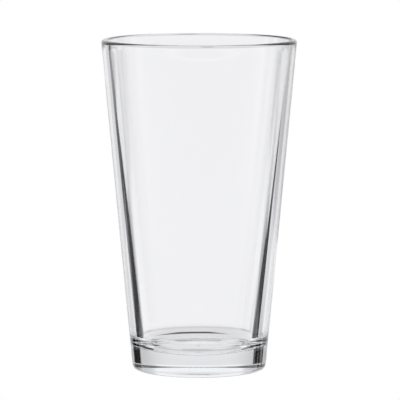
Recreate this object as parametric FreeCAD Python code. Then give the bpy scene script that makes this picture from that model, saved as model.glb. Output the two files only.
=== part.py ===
import FreeCAD, Part
import math
import os

# Mixing glass: one piece of pressed soda-lime glass, a tapered cup with a heavy solid base.
# Millimetres. +Z is up along the glass's own axis, and the origin is the centre of the foot.

# Driving dimensions
HEIGHT = 149.2
TOP_DIAMETER = 88.2         # outside, where the line of the side meets the plane of the rim
BASE_DIAMETER = 60.3        # outside, where the line of the side meets the table
RIM_WALL = 2.9              # wall thickness, measured level, at the rim
FOOT_WALL = 6.5             # the same where the wall meets the level of the inner floor
BASE_THICKNESS = 8.4        # glass under the lowest point of the inner floor
HEEL_RADIUS = 2.0           # outside corner between the side and the foot
RIM_OUTER_RADIUS = 1.5
RIM_INNER_RADIUS = 1.1
FLOOR_RADIUS = 98.0         # the inner floor is a shallow bowl, part of a sphere this large
FLOOR_CORNER_RADIUS = 6.4   # rounding between the inner floor and the inner wall
FOOT_RING_WIDTH = 4.8       # flat ring that the glass stands on
PUSH_UP = 2.3               # height of the hollow under the base at its centre

NODE = "glass_body"
PARTS_FOLDER = "parts"


def point(radius, height):
    """A point of the half outline, in the XZ plane."""
    return FreeCAD.Vector(radius, 0, height)


def line_at(start, end, height):
    """The point at a height on the straight line through two points."""
    share = (height - start.z) / (end.z - start.z)
    return start + (end - start) * share


def round_corner(before, corner, after, radius):
    """Start, middle and end of the arc that rounds the corner between two straight runs."""
    to_before = (before - corner).normalize()
    to_after = (after - corner).normalize()
    half_angle = to_before.getAngle(to_after) / 2
    setback = radius / math.tan(half_angle)
    bisector = (to_before + to_after).normalize()
    centre = corner + bisector * (radius / math.sin(half_angle))
    return corner + to_before * setback, centre - bisector * radius, corner + to_after * setback


def floor_corner(wall_low, wall_high):
    """Start, middle and end of the arc that joins the inner wall to the bowl of the floor.

    The arc touches the wall's line from inside and the floor's sphere from above, so its centre
    is one corner radius off the line and one corner radius short of the sphere.
    """
    sphere_centre = point(0, BASE_THICKNESS + FLOOR_RADIUS)
    along = (wall_high - wall_low).normalize()
    inward = FreeCAD.Vector(-along.z, 0, along.x)
    start = wall_low + inward * FLOOR_CORNER_RADIUS - sphere_centre
    reach = FLOOR_RADIUS - FLOOR_CORNER_RADIUS
    half_b = start.dot(along)
    step = -half_b - math.sqrt(half_b ** 2 - start.dot(start) + reach ** 2)
    centre = sphere_centre + start + along * step
    to_wall = inward * -1
    to_floor = (centre - sphere_centre).normalize()
    to_middle = (to_wall + to_floor).normalize()
    return [centre + way * FLOOR_CORNER_RADIUS for way in (to_wall, to_middle, to_floor)]


def arc(start, middle, end):
    return Part.Arc(start, middle, end).toShape()


def straight(start, end):
    return Part.LineSegment(start, end).toShape()


def sphere_arc(rim_point, centre_height):
    """Arc from a point to the axis, where it is level, for the floor and the push-up."""
    rise = centre_height - rim_point.z
    radius = (rim_point.x ** 2 + rise ** 2) / (2 * rise)
    sweep = math.asin(rim_point.x / abs(radius)) / 2
    middle = point(abs(radius) * math.sin(sweep), centre_height - radius * (1 - math.cos(sweep)))
    return arc(rim_point, middle, point(0, centre_height))


def half_outline():
    """Closed half section of the glass, from the axis under the base round to the floor."""
    foot_corner = point(BASE_DIAMETER / 2, 0)
    rim_outer = point(TOP_DIAMETER / 2, HEIGHT)
    rim_inner = point(TOP_DIAMETER / 2 - RIM_WALL, HEIGHT)
    floor_level = line_at(foot_corner, rim_outer, BASE_THICKNESS)
    wall_low = floor_level - point(FOOT_WALL, 0)

    heel = round_corner(point(0, 0), foot_corner, rim_outer, HEEL_RADIUS)
    lip_outer = round_corner(foot_corner, rim_outer, rim_inner, RIM_OUTER_RADIUS)
    lip_inner = round_corner(rim_outer, rim_inner, wall_low, RIM_INNER_RADIUS)
    corner = floor_corner(wall_low, rim_inner)
    ring_inner = heel[0] - point(FOOT_RING_WIDTH, 0)
    floor_centre = point(0, BASE_THICKNESS)
    push_up_centre = point(0, PUSH_UP)

    return Part.Wire([
        sphere_arc(ring_inner, PUSH_UP),
        straight(ring_inner, heel[0]),
        arc(*heel),
        straight(heel[2], lip_outer[0]),
        arc(*lip_outer),
        straight(lip_outer[2], lip_inner[0]),
        arc(*lip_inner),
        straight(lip_inner[2], corner[0]),
        arc(*corner),
        sphere_arc(corner[2], BASE_THICKNESS),
        straight(floor_centre, push_up_centre),
    ])


def glass_body():
    """The whole glass, turned from its half outline."""
    turned = Part.Face(half_outline()).revolve(point(0, 0), FreeCAD.Vector(0, 0, 1), 360)
    if turned.Volume < 0:
        turned.reverse()
    return turned


os.makedirs(PARTS_FOLDER, exist_ok=True)
body = glass_body()
body.exportStep(os.path.join(PARTS_FOLDER, NODE + ".step"))
print(NODE, body.ShapeType, "valid", body.isValid(), "volume mm3", round(body.Volume))
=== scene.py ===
import math

import bpy
import numpy as np
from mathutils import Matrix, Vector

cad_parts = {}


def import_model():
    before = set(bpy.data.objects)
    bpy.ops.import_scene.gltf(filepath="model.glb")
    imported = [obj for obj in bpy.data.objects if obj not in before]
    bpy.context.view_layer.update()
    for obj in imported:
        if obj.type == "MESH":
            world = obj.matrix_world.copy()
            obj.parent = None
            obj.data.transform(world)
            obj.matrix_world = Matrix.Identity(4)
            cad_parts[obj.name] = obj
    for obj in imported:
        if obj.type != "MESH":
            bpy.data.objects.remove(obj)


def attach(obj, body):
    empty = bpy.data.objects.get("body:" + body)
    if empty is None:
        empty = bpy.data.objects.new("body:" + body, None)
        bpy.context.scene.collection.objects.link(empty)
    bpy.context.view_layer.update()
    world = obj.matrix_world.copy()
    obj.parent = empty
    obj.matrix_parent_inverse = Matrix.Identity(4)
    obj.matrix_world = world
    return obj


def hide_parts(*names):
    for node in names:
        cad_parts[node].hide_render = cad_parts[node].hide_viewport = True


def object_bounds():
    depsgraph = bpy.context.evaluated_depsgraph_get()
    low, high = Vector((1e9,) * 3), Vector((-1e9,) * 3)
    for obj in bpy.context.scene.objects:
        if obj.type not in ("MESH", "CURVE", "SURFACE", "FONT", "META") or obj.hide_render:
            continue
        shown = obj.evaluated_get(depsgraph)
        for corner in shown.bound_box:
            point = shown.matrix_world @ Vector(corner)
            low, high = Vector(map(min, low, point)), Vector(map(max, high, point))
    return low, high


# Mixing glass: one piece of clear pressed glass in a bright-field studio.
# Metres, in the CAD model's own frame: +Z up, origin at the centre of the foot. The camera looks along +Y.

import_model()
cad_low, cad_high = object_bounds()

MM = 0.001

# The glass. The height comes from the frame, and the rest repeats the CAD model's driving dimensions.
HEIGHT = cad_high[2] - cad_low[2]
TOP_RADIUS = 88.2 / 2 * MM
BASE_RADIUS = 60.3 / 2 * MM
RIM_WALL = 2.9 * MM
FOOT_WALL = 6.5 * MM
BASE_THICKNESS = 8.4 * MM
HEEL_RADIUS = 2.0 * MM
RIM_OUTER_RADIUS = 1.5 * MM
RIM_INNER_RADIUS = 1.1 * MM
FLOOR_RADIUS = 98.0 * MM
FLOOR_CORNER_RADIUS = 6.4 * MM
FOOT_RING_WIDTH = 4.8 * MM
PUSH_UP = 2.3 * MM

# The inside leans a little in the outside, as the plunger that pressed it did. The lean is along X.
LEAN_FOOT = -0.6 * MM
LEAN_RIM = 0.45 * MM
LEAN_RINGS = 12                         # mesh rings, from the top of the rim, over which the lean sets in

# The mesh: steps around the axis, and points along each run of the outline
SEGMENTS = 384
HEEL_POINTS = 14
LIP_OUTER_POINTS = 16
LIP_INNER_POINTS = 14
SIDE_POINTS = 40
INSIDE_POINTS = 52
FLOOR_CORNER_POINTS = 24
FLOOR_POINTS = 30
FOOT_RING_POINTS = 8
PUSH_UP_POINTS = 20
SAME_POINT = 1e-7                       # closer points are one

IOR = 1.51
ABSORPTION = 2.9                        # per metre, for a colour component of 0
ABSORPTION_COLOUR = (0.0, 0.05, 0.06, 1)

# The studio's light. Brightness is relative, and 1 is white in the picture.
BASE_LIGHT = 0.62                       # where no patch lies
SEEN_LIGHT = 1.05                       # the least that the camera sees straight behind the glass
LIGHT_COLOUR = (0.99, 0.99, 1.01, 1)
FLOOR_SIZE = 8
FLOOR_DROP = 0.2 * MM                   # below the foot
FLOOR_LIGHT = 1.0

LEFT, RIGHT, BOTH = -1, 1, 0

# Patches of the studio by direction, each painted over those before it. Azimuth is in degrees to the left,
# right or both sides of straight ahead, as the camera looks. Elevation is in degrees above level. A slant is
# how far an azimuth edge moves towards straight ahead for each degree below level. The soft borders lie
# outside the edges.
# side, azimuth from, its slant, azimuth to, its slant, softness, elevation from, to, softness, brightness
PATCHES = {
    "ceiling": (BOTH, 0, 0, 180, 0, 1, 30, 90, 15, 0.85),
    "surround": (BOTH, 86, 0, 180, 0, 6, -90, 4, 4, 0.86),
    "room": (BOTH, 92, 0, 180, 0, 8, 8, 60, 6, 0.10),
    "backdrop": (BOTH, 0, 0, 16, 0, 30, -14, 90, 5, 0.935),
    "backdrop_top": (BOTH, 0, 0, 26, 0, 8, 6, 25, 3, 1.10),
    "left_end": (LEFT, 30, 0, 40, 0, 5, -16, -7, 1, 0.74),
    "right_end": (RIGHT, 28, 0, 48, 0, 6, -16, -8, 1, 0.64),
    # painted pool of light: the table at either side near the foot, brighter than white
    "side_table_painted_light": (BOTH, 50, 0, 92, 0, 18, -32, -15, 3, 1.2),
    # painted shadow: the table just behind the foot, darker where the glass shades it
    "near_table_painted_shade": (BOTH, 0, 0, 40, 0, 10, -66, -22, 5, 0.77),
    # painted shadow: the table straight under the glass, darker
    "under": (BOTH, 0, 0, 180, 0, 1, -90, -74, 6, 0.58),
    "dim": (BOTH, 14, 0, 30, 0, 3, -19.5, -15.3, 1, 0.55),
    # a black band just right of straight ahead, 30.5 to 36 degrees below level
    "black_band": (RIGHT, 0.3, 0, 1.3, 0, 0.8, -36, -30.5, 0.6, 0.0),
    "left_flag": (LEFT, 34.5, 0, 62, -0.4, 1.5, -14, -10.5, 1, 0.01),
    "left_flag_mid": (LEFT, 34.5, 0, 64, 0, 1.5, -10.2, -7, 1, 0.22),
    "left_flag_top": (LEFT, 42, 0, 61, 0, 1.5, -6, 8.5, 2, 0.01),
    "left_flag_foot": (LEFT, 34, 0, 58, 0, 1.5, -17, -14, 1, 0.01),
    "left_gap": (LEFT, 8, -3.0, 54, 0, 1.2, -13.2, -11.5, 0.7, 1.0),
    "right_flag": (RIGHT, 51, 0.7, 69.5, -0.4, 1.5, -14, -7, 1, 0.01),
    "right_flag_mid": (RIGHT, 38, 0, 60, 0, 1.5, -10.3, -7, 0.7, 0.01),
    "right_flag_top": (RIGHT, 49.5, 0, 66, 0, 3, -6, 8.5, 2, 0.01),
    "right_flag_foot": (RIGHT, 51, 0.7, 57, 0, 1.5, -18, -14, 1, 0.01),
    "right_gap": (RIGHT, 23, -1.6, 51, 0, 1.2, -15.5, -11.5, 0.7, 1.0),
    "right_gap_end": (RIGHT, 50, 0, 57, 0, 1.2, -13.6, -11.5, 0.7, 1.0),
    "right_flag_end": (RIGHT, 62, 0, 67, 0, 1.5, -15.3, -13, 0.7, 0.01),
    "flag_toes": (BOTH, 45, 0, 58, 0, 2, -19.8, -16, 1, 0.03),
    "sides": (BOTH, 74, 0, 80, 0, 4, -8, 8, 5, 0.25),
}

CAMERA_DISTANCE = 1.452
CAMERA_ASIDE = 0.0004
CAMERA_HEIGHT = 0.2460
CAMERA_PITCH = 6.658                    # degrees below level
CAMERA_LENS = 291.4                     # millimetres, as is the sensor
CAMERA_SENSOR = 36.0
CAMERA_CLIP_START = 0.01
CAMERA_CLIP_END = 50

LIGHT_BOUNCES = 32                      # light crosses many surfaces on its way through the base
GLOSSY_BOUNCES = 16


def point(radius, height):
    """A point of the half outline."""
    return np.array([radius, height], float)


def unit(vector):
    return vector / np.linalg.norm(vector)


def arc(centre, start, end, count):
    """Points on the shorter arc about a centre from one point to another, both included."""
    to_start = start - centre
    to_end = end - centre
    first = math.atan2(to_start[1], to_start[0])
    turn = (math.atan2(to_end[1], to_end[0]) - first + math.pi) % (2 * math.pi) - math.pi
    angles = first + np.linspace(0, turn, count)
    return centre + np.linalg.norm(to_start) * np.stack([np.cos(angles), np.sin(angles)], 1)


def rounded(before, corner, after, radius, count):
    """The arc that rounds a corner between two straight runs."""
    to_before = unit(before - corner)
    to_after = unit(after - corner)
    half = math.acos(float(to_before @ to_after)) / 2
    centre = corner + unit(to_before + to_after) * radius / math.sin(half)
    setback = radius / math.tan(half)
    return arc(centre, corner + to_before * setback, corner + to_after * setback, count)


def straight(start, end, count):
    """Points on the straight line from one point to another, both included."""
    return start + (end - start) * np.linspace(0, 1, count)[:, None]


def cap(edge, centre_height, count):
    """The arc from an edge point up to the axis, where it is level."""
    rise = centre_height - edge[1]
    radius = (edge[0] ** 2 + rise ** 2) / (2 * rise)
    return arc(point(0, centre_height - radius), edge, point(0, centre_height), count)


def floor_corner(wall_low, along, sphere_centre):
    """The arc between the inner wall's line and the bowl of the floor, touching both."""
    inward = point(-along[1], along[0])
    start = wall_low + inward * FLOOR_CORNER_RADIUS - sphere_centre
    reach = FLOOR_RADIUS - FLOOR_CORNER_RADIUS
    half_b = float(start @ along)
    step = -half_b - math.sqrt(half_b * half_b - float(start @ start) + reach ** 2)
    centre = sphere_centre + start + along * step
    on_wall = centre - inward * FLOOR_CORNER_RADIUS
    on_floor = centre + unit(centre - sphere_centre) * FLOOR_CORNER_RADIUS
    return arc(centre, on_wall, on_floor, FLOOR_CORNER_POINTS)


def outline():
    """Half outline from the axis under the base round to the centre of the floor."""
    foot = point(BASE_RADIUS, 0)
    rim_outer = point(TOP_RADIUS, HEIGHT)
    rim_inner = point(TOP_RADIUS - RIM_WALL, HEIGHT)
    side_at_floor = foot + (rim_outer - foot) * (BASE_THICKNESS / HEIGHT)
    wall_low = side_at_floor - point(FOOT_WALL, 0)
    sphere_centre = point(0, BASE_THICKNESS + FLOOR_RADIUS)

    heel = rounded(point(0, 0), foot, rim_outer, HEEL_RADIUS, HEEL_POINTS)
    lip_outer = rounded(foot, rim_outer, rim_inner, RIM_OUTER_RADIUS, LIP_OUTER_POINTS)
    lip_inner = rounded(rim_outer, rim_inner, wall_low, RIM_INNER_RADIUS, LIP_INNER_POINTS)
    corner = floor_corner(wall_low, unit(rim_inner - wall_low), sphere_centre)
    ring_inner = heel[0] - point(FOOT_RING_WIDTH, 0)
    runs = [
        cap(ring_inner, PUSH_UP, PUSH_UP_POINTS)[::-1],
        straight(ring_inner, heel[0], FOOT_RING_POINTS),
        heel,
        straight(heel[-1], lip_outer[0], SIDE_POINTS),
        lip_outer,
        lip_inner,
        straight(lip_inner[-1], corner[0], INSIDE_POINTS),
        corner,
        arc(sphere_centre, corner[-1], point(0, BASE_THICKNESS), FLOOR_POINTS),
    ]
    points = [runs[0][0]]
    for run in runs:
        for candidate in run:
            if np.linalg.norm(candidate - points[-1]) > SAME_POINT:
                points.append(candidate)
    return np.array(points)


def lean_of(rings):
    """How far along X each ring of the inside is moved. The outside stays round the axis."""
    top_ring = int(np.argmax(rings[:, 1]))
    inside = np.clip((np.arange(len(rings)) - top_ring) / LEAN_RINGS, 0, 1)
    inside = inside * inside * (3 - 2 * inside)
    return inside * (LEAN_FOOT + (LEAN_RIM - LEAN_FOOT) * rings[:, 1] / HEIGHT)


def revolve(profile, name):
    """Closed mesh turned about Z, with one vertex at each end of the profile, on the axis."""
    angles = (np.arange(SEGMENTS) + 0.5) * 2 * math.pi / SEGMENTS
    rings = profile[1:-1]
    count = len(rings)
    lean = lean_of(rings)
    x = rings[:, :1] * np.cos(angles) + lean[:, None]
    y = rings[:, :1] * np.sin(angles)
    z = np.repeat(rings[:, 1:], SEGMENTS, 1)
    turned = np.stack([x, y, z], 2).reshape(-1, 3)
    ends = [[0, 0, profile[0, 1]], [lean[-1], 0, profile[-1, 1]]]
    bottom = len(turned)
    top = bottom + 1
    last = (count - 1) * SEGMENTS
    faces = []
    for i in range(SEGMENTS):
        j = (i + 1) % SEGMENTS
        faces.append((bottom, j, i))
        for a in range(0, last, SEGMENTS):
            b = a + SEGMENTS
            faces.append((a + i, a + j, b + j, b + i))
        faces.append((last + i, last + j, top))
    mesh = bpy.data.meshes.new(name)
    mesh.from_pydata(np.concatenate([turned, ends]).tolist(), [], faces)
    mesh.update()
    mesh.polygons.foreach_set("use_smooth", [True] * len(mesh.polygons))
    ob = bpy.data.objects.new(name, mesh)
    bpy.context.scene.collection.objects.link(ob)
    return ob


def glass_material():
    """Clear smooth glass, very slightly green and blue where it is thick."""
    mat = bpy.data.materials.new("clear_glass")
    mat.use_nodes = True
    bsdf = mat.node_tree.nodes["Principled BSDF"]
    bsdf.inputs["Base Color"].default_value = (1, 1, 1, 1)
    bsdf.inputs["Roughness"].default_value = 0.0
    bsdf.inputs["IOR"].default_value = IOR
    bsdf.inputs["Transmission Weight"].default_value = 1.0
    absorption = mat.node_tree.nodes.new("ShaderNodeVolumeAbsorption")
    absorption.inputs["Color"].default_value = ABSORPTION_COLOUR
    absorption.inputs["Density"].default_value = ABSORPTION
    output = mat.node_tree.nodes["Material Output"]
    mat.node_tree.links.new(absorption.outputs[0], output.inputs["Volume"])
    return mat


def smooth_step(nodes, value, start, end):
    """0 up to the start, rising smoothly to 1 at the end, either way round."""
    ramp = nodes.new("ShaderNodeMapRange")
    ramp.interpolation_type = "SMOOTHSTEP"
    ramp.inputs["From Min"].default_value = start
    ramp.inputs["From Max"].default_value = end
    nodes.id_data.links.new(value, ramp.inputs["Value"])
    return ramp.outputs[0]


def maths(nodes, operation, *values):
    """The result of a Math node on numbers and other nodes' outputs."""
    node = nodes.new("ShaderNodeMath")
    node.operation = operation
    for socket, value in zip(node.inputs, values):
        if isinstance(value, (int, float)):
            socket.default_value = value
        else:
            nodes.id_data.links.new(value, socket)
    return node.outputs[0]


def patch_cover(nodes, azimuths, elevation, below_level, patch):
    """1 inside the patch, 0 outside, and between in its soft edges."""
    side, az_low, slant_low, az_high, slant_high, az_soft, el_low, el_high, el_soft = patch
    from_low = maths(nodes, "MULTIPLY_ADD", below_level, -slant_low, azimuths[side])
    from_high = maths(nodes, "MULTIPLY_ADD", below_level, -slant_high, azimuths[side])
    edges = [
        smooth_step(nodes, from_low, az_low - az_soft, az_low),
        smooth_step(nodes, from_high, az_high + az_soft, az_high),
        smooth_step(nodes, elevation, el_low - el_soft, el_low),
        smooth_step(nodes, elevation, el_high + el_soft, el_high),
    ]
    cover = edges[0]
    for edge in edges[1:]:
        cover = maths(nodes, "MULTIPLY", cover, edge)
    return cover


def world():
    """The studio by direction: patches over each other, and white where the camera sees past the glass."""
    studio = bpy.data.worlds.new("studio")
    bpy.context.scene.world = studio
    studio.use_nodes = True
    nodes = studio.node_tree.nodes
    links = studio.node_tree.links
    split = nodes.new("ShaderNodeSeparateXYZ")
    links.new(nodes.new("ShaderNodeTexCoord").outputs["Generated"], split.inputs[0])
    east, north, up = split.outputs
    azimuth = maths(nodes, "DEGREES", maths(nodes, "ARCTAN2", east, north))
    azimuths = {
        RIGHT: azimuth,
        LEFT: maths(nodes, "MULTIPLY", azimuth, -1),
        BOTH: maths(nodes, "ABSOLUTE", azimuth),
    }
    elevation = maths(nodes, "DEGREES", maths(nodes, "ARCSINE", up))
    below_level = maths(nodes, "MINIMUM", elevation, 0)
    base = nodes.new("ShaderNodeValue")
    base.outputs[0].default_value = BASE_LIGHT
    light = base.outputs[0]
    for name, (*patch, brightness) in PATCHES.items():
        mix = nodes.new("ShaderNodeMix")
        mix.name = name
        links.new(patch_cover(nodes, azimuths, elevation, below_level, patch), mix.inputs["Factor"])
        links.new(light, mix.inputs["A"])
        mix.inputs["B"].default_value = brightness
        light = mix.outputs["Result"]
    camera_ray = nodes.new("ShaderNodeLightPath").outputs["Is Camera Ray"]
    strength = maths(nodes, "MAXIMUM", light, maths(nodes, "MULTIPLY", camera_ray, SEEN_LIGHT))
    background = nodes["Background"]
    background.inputs["Color"].default_value = LIGHT_COLOUR
    links.new(strength, background.inputs["Strength"])


def floor():
    """White ground that only the camera sees, so that it doesn't hide the studio from the glass."""
    bpy.ops.mesh.primitive_plane_add(size=FLOOR_SIZE, location=(0, 0, -FLOOR_DROP))
    ob = bpy.context.object
    ob.name = "floor"
    mat = bpy.data.materials.new("floor")
    mat.use_nodes = True
    nodes = mat.node_tree.nodes
    nodes.clear()
    output = nodes.new("ShaderNodeOutputMaterial")
    emission = nodes.new("ShaderNodeEmission")
    emission.inputs["Strength"].default_value = FLOOR_LIGHT
    mat.node_tree.links.new(emission.outputs[0], output.inputs["Surface"])
    ob.data.materials.append(mat)
    ob.visible_transmission = False
    ob.visible_glossy = False
    ob.visible_diffuse = False


def camera():
    data = bpy.data.cameras.new("camera")
    data.lens = CAMERA_LENS
    data.sensor_width = CAMERA_SENSOR
    data.clip_start = CAMERA_CLIP_START
    data.clip_end = CAMERA_CLIP_END
    ob = bpy.data.objects.new("camera", data)
    ob.location = (CAMERA_ASIDE, -CAMERA_DISTANCE, CAMERA_HEIGHT)
    ob.rotation_euler = (math.radians(90 - CAMERA_PITCH), 0, 0)
    bpy.context.scene.collection.objects.link(ob)
    bpy.context.scene.camera = ob


body = revolve(outline(), "mixing_glass")
body.data.materials.append(glass_material())
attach(body, "root")
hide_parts("glass_body")
world()
floor()
camera()

scene = bpy.context.scene
scene.view_settings.view_transform = "Standard"
scene.cycles.max_bounces = LIGHT_BOUNCES
scene.cycles.transmission_bounces = LIGHT_BOUNCES
scene.cycles.glossy_bounces = GLOSSY_BOUNCES
scene.cycles.caustics_reflective = True
scene.cycles.caustics_refractive = True
